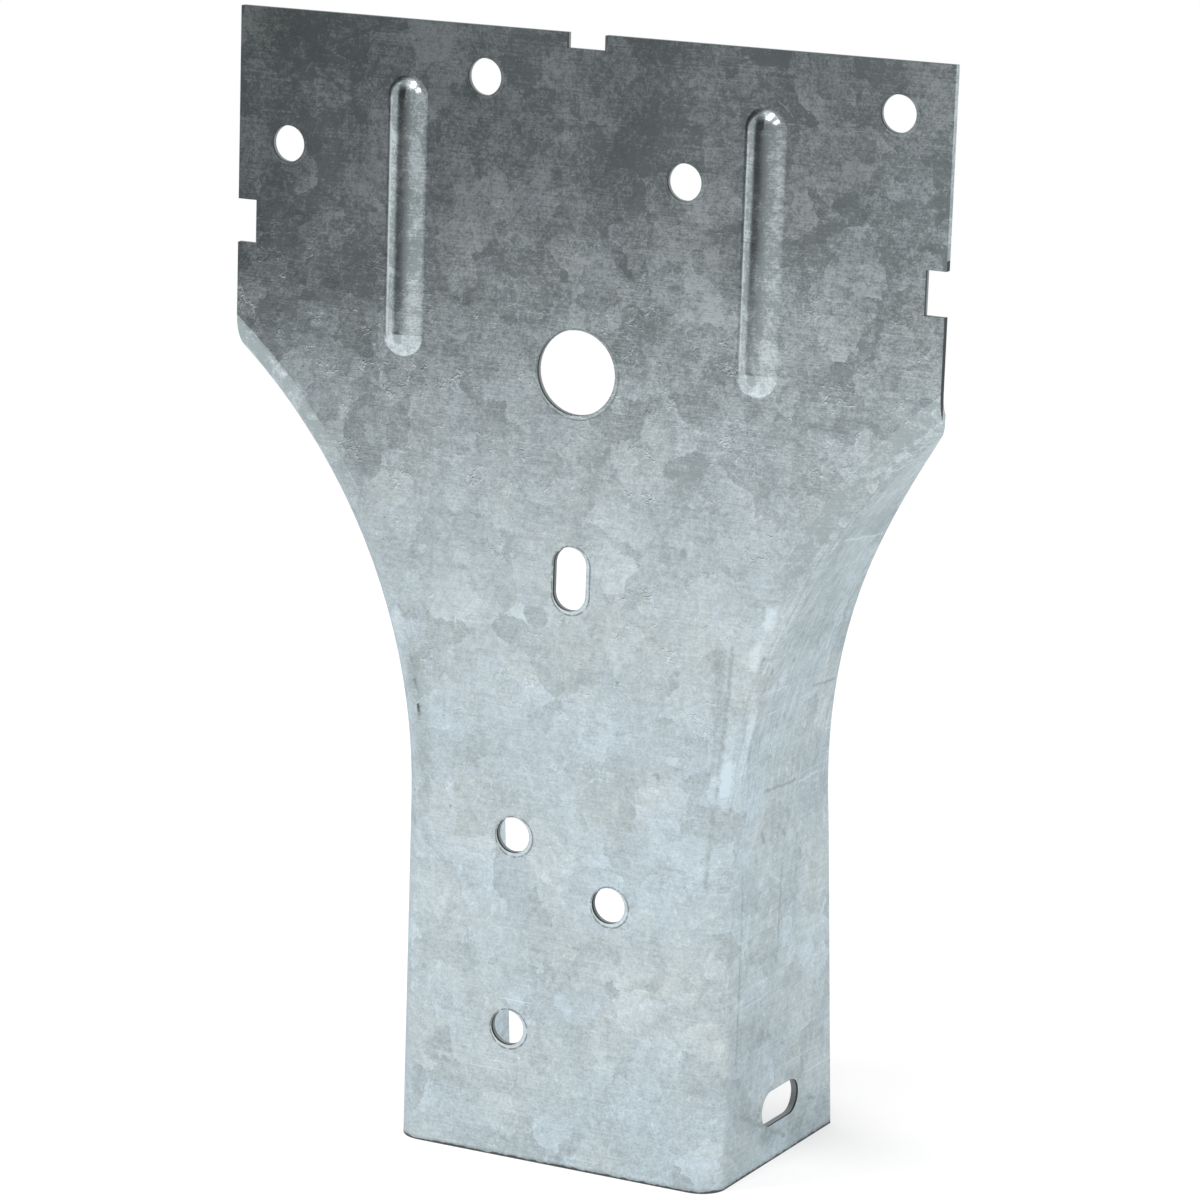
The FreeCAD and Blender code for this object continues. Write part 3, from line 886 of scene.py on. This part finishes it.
@dataclass(frozen=True)
class UpperBendShade:
    """The start of the upper bends, darkened with painted shade to the plate's tone."""

    start: Span = (-0.9098 * MM, -0.902 * MM)
    end: Span = (0.9 * MM, -0.8 * MM)
    heights: Span = (58.0 * MM, 88.0 * MM)

    def mask(self, surface: Surface) -> Socket:
        """Finds the bends' start on the outside of the sheet, where the shade is painted.

        Args:
            surface: the point that is shaded.

        Returns:
            The mask's socket.
        """
        graph = surface.graph
        place = graph.parts(surface.place)
        bend = graph.all_of(graph.ease(place["Y"], *self.start), graph.ease(place["Y"], *self.end))
        forward = graph.below(graph.parts(surface.facing)["Y"], 0.0)
        return graph.all_of(bend, graph.ease(place["Z"], *self.heights), forward)


@dataclass(frozen=True)
class GalvanisedSheet:
    """Hot-dip galvanised steel: blue-grey zinc with a ragged spangle and rolling scuffs."""

    deep: Triple = (0.335, 0.385, 0.397)
    pale: Triple = (0.640, 0.708, 0.722)
    cool: Triple = (0.600, 0.708, 0.778)
    cut_steel: Triple = (0.33, 0.35, 0.355)
    # near-black for the burnished cuts and for the painted shade lines
    burnished_and_shade: Triple = (0.085, 0.092, 0.095)
    mirrored: Triple = (0.50, 0.515, 0.52)
    glancing: Triple = (0.72, 0.77, 0.79)
    roughness: float = 0.20
    cut_roughness: float = 0.6
    tones: ZincTones = ZincTones()
    relief: ZincRelief = ZincRelief()
    layers: ZincLayers = ZincLayers()
    # painted shade at the upper bends' start
    upper_bend_shade: UpperBendShade = UpperBendShade()
    marks: tuple[Mark, ...] = SHEET_MARKS
    mark_waver: Waves = Waves(900.0, 3.0, 0.6)
    mark_waver_reach: float = 0.7 * MM
    mark_patches: Waves = Waves(1500.0, 3.0, 0.6)
    mark_patch_range: Span = (0.42, 0.6)
    holes: tuple[PunchedHole, ...] = SHEET_HOLES
    # where the rims' painted highlight and shade lines fall, and how the lines fade high up
    rim_right: float = 0.18
    rim_drop: float = 0.15
    rim_line_heights: Span = (70.0 * MM, 112.0 * MM)
    rim_line_below: float = 0.72
    rim_line_above: float = 0.22

    def dress(self, target: bpy.types.Object, effects: dict[str, Tree]) -> None:
        """Puts this finish in every material slot of an object.

        Args:
            target: the object to dress.
            effects: the shared node groups by name.
        """
        material = bpy.data.materials.new("galvanised_sheet")
        material.use_nodes = True
        graph = Graph(material.node_tree)
        point = graph.node("ShaderNodeTexCoord").outputs
        surface = Surface(graph, point["Object"], point["Normal"], effects)
        zinc = self.zinc(surface)
        tone, rim_line = self.punched(surface, self.marked(surface, zinc.tone))
        sheared = surface.effect("sheared", Facing=surface.facing)
        light = graph.blend(zinc.coolness, opaque(self.pale), opaque(self.cool))
        colour = graph.blend(tone, opaque(self.deep), light)
        colour = graph.blend(sheared["Cut"], colour, opaque(self.cut_steel))
        # the burnished cuts, the painted shade along the foot and round the holes take one
        # near-black
        dark = graph.any_of(sheared["Lip"], rim_line)
        colour = graph.blend(dark, colour, opaque(self.burnished_and_shade))
        # zinc seen in zinc stays grey
        glossy = graph.node("ShaderNodeLightPath").outputs["Is Glossy Ray"]
        colour = graph.blend(glossy, colour, opaque(self.mirrored))
        rough = graph.maths("ADD", zinc.gloss, self.roughness)
        rough = graph.any_of(rough, graph.all_of(sheared["Cut"], self.cut_roughness))
        leaned = graph.node("ShaderNodeNewGeometry").outputs["Normal"]
        leaned = graph.vector("NORMALIZE", graph.vector("ADD", leaned, zinc.lean))
        relief = {"Strength": 1.0, "Distance": 1.0, "Height": zinc.height, "Normal": leaned}
        shader = graph.node(
            "ShaderNodeBsdfPrincipled",
            {
                "Base Color": colour,
                "Roughness": rough,
                "Metallic": 1.0,
                "Specular Tint": opaque(self.glancing),
                "Normal": graph.node("ShaderNodeBump", relief).outputs[0],
            },
        )
        graph.node("ShaderNodeOutputMaterial", {"Surface": shader.outputs[0]})
        for slot in target.material_slots:
            slot.material = material

    def zinc(self, surface: Surface) -> Zinc:
        """Builds the zinc, with painted shade at the upper bends and foot, without marks and rims.

        Args:
            surface: the point that is shaded.

        Returns:
            The tone from 0 to 1, the height in metres, the change of roughness, the lean of
            the crystals' faces, and how blue the light patches are.
        """
        graph, layers, tones, relief = surface.graph, self.layers, self.tones, self.relief
        level = graph.parts(surface.place)["Z"]
        large = surface.effect("spangle", Cells=1.0 / layers.cell, Ragged=layers.ragged)
        small = surface.effect("spangle", Cells=1.0 / layers.small_cell, Ragged=layers.small_ragged)
        scuffs = surface.effect(
            "rolling", Length=layers.scuff_length, Fineness=layers.scuff_fineness
        )
        wrinkle_fade = graph.ease(level, *layers.wrinkle_heights, 1.0, layers.wrinkle_above)
        wrinkles = graph.all_of(surface.effect("wrinkles")["Wrinkle"], wrinkle_fade)
        clouds, mottle, grain = (
            graph.noise(surface.place, waves)["Fac"]
            for waves in (layers.clouds, layers.mottle, layers.grain)
        )
        crystals = (
            (large["Shade"], tones.large_shade),
            (small["Shade"], tones.small_shade),
            (large["Feather"], tones.large_feather),
            (small["Feather"], tones.small_feather),
            (clouds, tones.clouds),
            (mottle, tones.mottle),
            (grain, tones.grain),
            (scuffs["Scuff"], tones.scuff),
        )
        change = graph.added(
            0.0, ((graph.maths("SUBTRACT", part, MIDDLE), share) for part, share in crystals)
        )
        # painted reflection: the crystals' contrast is raised high up, where the sheet mirrors the
        # dark
        crisp = graph.ease(level, *layers.crisp_heights, 1.0, layers.crisp_above)
        specks = surface.effect(
            "specks", Cells=layers.speck_cells, Share=layers.speck_share, Size=layers.speck_size
        )
        traces = (
            (surface.effect("streaks")["Streak"], tones.streak),
            # painted shade where the upper bends start
            (self.upper_bend_shade.mask(surface), tones.bend),
            (scuffs["Dash"], tones.dash),
            (specks["Speck"], tones.speck),
            (wrinkles, tones.wrinkle),
            # painted shade along the foot
            (graph.ease(level, *layers.foot_shade_heights), tones.foot_shade),
        )
        tone = graph.added(graph.maths("MULTIPLY_ADD", change, crisp, MIDDLE), traces)
        heights = (
            (grain, relief.grain),
            (mottle, relief.mottle),
            (wrinkles, relief.wrinkle),
            (scuffs["Scuff"], relief.scuff),
        )
        lean = graph.vector(
            "ADD",
            graph.vector("SCALE", large["Lean"], scale=relief.large_lean),
            graph.vector("SCALE", small["Lean"], scale=relief.small_lean),
        )
        gloss = graph.all_of(graph.maths("SUBTRACT", clouds, MIDDLE), relief.gloss)
        cool = self.coolness(surface, level)
        return Zinc(tone, graph.added(0.0, heights), gloss, lean, cool)

    def coolness(self, surface: Surface, level: Socket) -> Socket:
        """Finds the patches in which the zinc is bluer, more of them low down.

        Args:
            surface: the point that is shaded.
            level: the point's height.

        Returns:
            The mask's socket.
        """
        graph, layers = surface.graph, self.layers
        shifted = graph.vector("ADD", surface.place, layers.blue_shift)
        blue = graph.ease(graph.noise(shifted, layers.blue)["Fac"], *layers.blue_range)
        return graph.all_of(blue, graph.ease(level, *layers.blue_heights, 1.0, layers.blue_above))

    def punched(self, surface: Surface, tone: Socket) -> tuple[Socket, Socket]:
        """Adds the painted highlights of the holes' rolled rims to the tone.

        Args:
            surface: the point that is shaded.
            tone: the zinc's tone.

        Returns:
            The tone with every rim's painted highlight on it, and the mask of the painted dark
            lines of shade round them.
        """
        graph = surface.graph
        flat = graph.vector("MULTIPLY", surface.place, (1.0, 0.0, 1.0))
        height = graph.parts(surface.place)["Z"]
        gap: object = 1.0
        for hole in self.holes:
            # each rim is moved right and down, so that its painted highlight and shade fall on that
            # side
            across = (hole.across + self.rim_right) * MM
            low, high = ((end - self.rim_drop) * MM for end in (hole.low, hole.high))
            centre: object = (across, 0.0, low)
            if high > low:
                middle = graph.maths("MINIMUM", graph.maths("MAXIMUM", height, low), high)
                centre = graph.joined(X=across, Z=middle)
            away = graph.vector("DISTANCE", flat, centre)
            gap = graph.maths("MINIMUM", graph.maths("SUBTRACT", away, hole.radius * MM), gap)
        rim = surface.effect("rim", Gap=gap)
        tone = graph.maths("MULTIPLY_ADD", rim["Rim"], self.tones.rim, tone)
        # the painted shade lines grow fainter high up
        fade = graph.ease(height, *self.rim_line_heights, self.rim_line_below, self.rim_line_above)
        return tone, graph.all_of(rim["Line"], fade)

    def marked(self, surface: Surface, tone: Socket) -> Socket:
        """Adds the placed marks to the tone.

        Args:
            surface: the point that is shaded.
            tone: the zinc's tone.

        Returns:
            The tone with every mark on it.
        """
        graph, masks = surface.graph, []
        wavering = graph.shaken(surface.place, self.mark_waver, self.mark_waver_reach)
        patches = graph.noise(wavering, self.mark_patches)["Fac"]
        rough = graph.ease(patches, *self.mark_patch_range)
        for mark in self.marks:
            mask = surface.effect(
                "mark",
                Place=wavering,
                Rough=rough,
                From=tuple(MM * part for part in mark.start),
                To=tuple(MM * part for part in mark.end),
                Width=mark.width * MM,
                Soft=mark.soft,
                Patchy=mark.patchy,
            )
            masks.append((mask["Mark"], mark.tone.value * mark.strength * self.tones.mark))
        return graph.added(tone, masks)


@dataclass(frozen=True)
class PhotoCamera:
    """The camera at the photograph's own angle, lens and tilt."""

    azimuth: float = 25.603
    elevation: float = 12.921
    roll: float = 1.885
    distance: float = 0.539024
    target: Triple = (0.003977, -0.00091, 0.069007)
    lens: float = 141.4545
    sensor: float = 36.0
    nearest: float = 0.01
    farthest: float = 50.0

    def place(self) -> None:
        """Makes the camera and gives it to the scene."""
        turn, rise, tilt = (math.radians(v) for v in (self.azimuth, self.elevation, self.roll))
        back = Vector(
            (math.sin(turn) * math.cos(rise), -math.cos(turn) * math.cos(rise), math.sin(rise))
        )
        level = Vector((0.0, 0.0, 1.0)).cross(back).normalized()
        upward = back.cross(level)
        right = math.cos(tilt) * level + math.sin(tilt) * upward
        top = -math.sin(tilt) * level + math.cos(tilt) * upward
        data = bpy.data.cameras.new("photo_camera")
        data.lens = self.lens
        data.sensor_width = self.sensor
        data.clip_start = self.nearest
        data.clip_end = self.farthest
        camera = bpy.data.objects.new("photo_camera", data)
        turned = Matrix((right, top, back)).transposed().to_4x4()
        stand = Vector(self.target) + back * self.distance
        camera.matrix_world = Matrix.Translation(stand) @ turned
        bpy.context.scene.collection.objects.link(camera)
        bpy.context.scene.camera = camera


@dataclass(frozen=True)
class Softbox:
    """One soft lamp that looks at the tie."""

    name: str
    place: Triple
    side: float
    watts: float


# how bright the horizon is at each angle: -180 degrees is behind, -90 right, 0 the front, 90 left
HORIZON = (
    (-180.0, 0.95),
    (-95.0, 0.90),
    (-60.0, 0.62),
    (-20.0, 0.52),
    (2.0, 0.50),
    (12.0, 0.40),
    (21.0, 0.31),
    (27.0, 0.20),
    (34.0, 0.08),
    (52.0, 0.06),
    (70.0, 0.85),
    (90.0, 0.95),
    (125.0, 0.95),
    (180.0, 0.95),
)


@dataclass(frozen=True)
class Studio:
    """A round pale floor, a soft dome with a shaded front, and soft lamps overhead."""

    floor_radius: float = 0.90
    floor_sides: int = 128
    floor_white: float = 0.465
    pool_centre: Triple = (0.15, 0.0, 0.0)
    pool_range: Span = (0.44, 0.72)
    horizon_stops: tuple[Span, ...] = HORIZON
    dome_range: Span = (0.28, 0.70)
    dome_white: float = 0.80
    aim: Triple = (0.0, 0.0, 0.07)
    softboxes: tuple[Softbox, ...] = (
        Softbox("key_softbox", (-0.45, -0.45, 1.05), 0.16, 5.0),
        Softbox("fill_softbox", (0.15, -0.25, 1.15), 0.12, 3.0),
        Softbox("front_glint", (-0.12, -0.94, 0.85), 0.26, 2.2),
        Softbox("right_glint", (0.34, -1.05, 0.58), 0.18, 0.9),
    )

    def build(self) -> None:
        """Makes the floor, the world and the lamps."""
        self.floor()
        self.world()
        for box in self.softboxes:
            self.lamp(box)

    def floor(self) -> bpy.types.Object:
        """Makes the round floor that the tie stands on.

        Returns:
            The floor object.
        """
        shape = bmesh.new()
        bmesh.ops.create_circle(
            shape, cap_ends=True, segments=self.floor_sides, radius=self.floor_radius
        )
        mesh = bpy.data.meshes.new("floor")
        shape.to_mesh(mesh)
        shape.free()
        floor = bpy.data.objects.new("floor", mesh)
        bpy.context.scene.collection.objects.link(floor)
        mesh.materials.append(self.floor_material())
        return floor

    def floor_material(self) -> bpy.types.Material:
        """Makes the floor's white, which keeps the tie's shadow.

        The metal sees it pale near the tie, and as bright as the horizon further out.

        Returns:
            The material.
        """
        material = bpy.data.materials.new("pale_floor")
        material.use_nodes = True
        graph = Graph(material.node_tree)
        place = graph.node("ShaderNodeTexCoord").outputs["Object"]
        away = graph.vector("DISTANCE", place, self.pool_centre)
        near = graph.ease(away, *self.pool_range, 1.0, 0.0)
        white = graph.all_of(near, self.floor_white)
        far = graph.all_of(graph.maths("SUBTRACT", 1.0, near), self.horizon(graph, place))
        paint = graph.node("ShaderNodeCombineColor", {"Red": white, "Green": white, "Blue": white})
        matt = graph.node("ShaderNodeBsdfDiffuse", {"Color": paint.outputs[0]}).outputs[0]
        rays = graph.node("ShaderNodeLightPath").outputs
        seen = graph.all_of(rays["Is Camera Ray"], graph.maths("SUBTRACT", 1.0, white))
        mirrored = graph.all_of(rays["Is Glossy Ray"], graph.maths("ADD", white, far))
        glow = {"Color": grey(1.0), "Strength": graph.maths("ADD", seen, mirrored)}
        shining = graph.node("ShaderNodeEmission", glow).outputs[0]
        both = graph.node("ShaderNodeAddShader", {0: matt, 1: shining})
        graph.node("ShaderNodeOutputMaterial", {"Surface": both.outputs[0]})
        return material

    def world(self) -> None:
        """Makes the dome: white to the camera, and shaded towards the front for the metal."""
        world = bpy.data.worlds.new("studio")
        bpy.context.scene.world = world
        world.use_nodes = True
        graph = Graph(world.node_tree)
        way = graph.node("ShaderNodeTexCoord").outputs["Generated"]
        high = graph.ease(graph.parts(way)["Z"], *self.dome_range)
        dome = graph.blend(high, self.horizon(graph, way), grey(self.dome_white))
        rays = graph.node("ShaderNodeLightPath").outputs
        colour = graph.blend(rays["Is Camera Ray"], dome, grey(1.0))
        ground = graph.node("ShaderNodeBackground", {"Color": colour, "Strength": 1.0})
        graph.node("ShaderNodeOutputWorld", {"Surface": ground.outputs[0]})

    def horizon(self, graph: Graph, way: Socket) -> Socket:
        """Reads how bright the studio is in the direction of a place.

        Args:
            graph: the graph of the floor or of the world.
            way: the place on the floor, or the direction on the dome.

        Returns:
            The brightness's socket.
        """
        part = graph.parts(way)
        left = graph.maths(
            "ARCTAN2",
            graph.maths("MULTIPLY", part["X"], -1.0),
            graph.maths("MULTIPLY", part["Y"], -1.0),
        )
        turn = graph.ease(left, -math.pi, math.pi, slope=Slope.STRAIGHT)
        made = graph.node("ShaderNodeValToRGB", {"Fac": turn})
        ramp = made.color_ramp
        ramp.interpolation = "EASE"
        while len(ramp.elements) < len(self.horizon_stops):
            ramp.elements.new(MIDDLE)
        for element, (angle, level) in zip(ramp.elements, self.horizon_stops):
            element.position = (angle + 180.0) / 360.0
            element.color = grey(level)
        return made.outputs["Color"]

    def lamp(self, box: Softbox) -> None:
        """Makes one softbox that faces the tie.

        Args:
            box: the softbox.
        """
        data = bpy.data.lights.new(box.name, "AREA")
        data.shape = "SQUARE"
        data.size = box.side
        data.energy = box.watts
        lamp = bpy.data.objects.new(box.name, data)
        lamp.location = box.place
        towards = Vector(self.aim) - Vector(box.place)
        lamp.rotation_euler = towards.to_track_quat("-Z", "Y").to_euler()
        lamp.visible_camera = False
        bpy.context.scene.collection.objects.link(lamp)


@dataclass(frozen=True)
class StudPlateTie:
    """The folded sheet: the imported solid, dressed as galvanised steel."""

    node: str = NODE
    finish: GalvanisedSheet = GalvanisedSheet()

    def dress(self) -> None:
        """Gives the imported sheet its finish."""
        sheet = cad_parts[self.node]
        effects = {
            "spangle": Spangle().effect(),
            "rolling": RollingScuffs().effect(),
            "specks": Specks().effect(),
            "wrinkles": Wrinkles().effect(),
            "mark": PlacedMark().effect(),
            "rim": PunchedRim().effect(),
            "streaks": DrawnStreaks().effect(),
            "sheared": ShearedFaces().effect(),
        }
        self.finish.dress(sheet, effects)
        LOG.info("dressed %s with %d marks", sheet.name, len(self.finish.marks))


def main() -> None:
    """Builds the camera, the studio and the dressed tie."""
    logging.basicConfig(level=logging.INFO, format="%(name)s: %(message)s")
    bpy.context.scene.view_settings.view_transform = "Standard"
    PhotoCamera().place()
    Studio().build()
    StudPlateTie().dress()


if __name__ == "__main__":
    main()
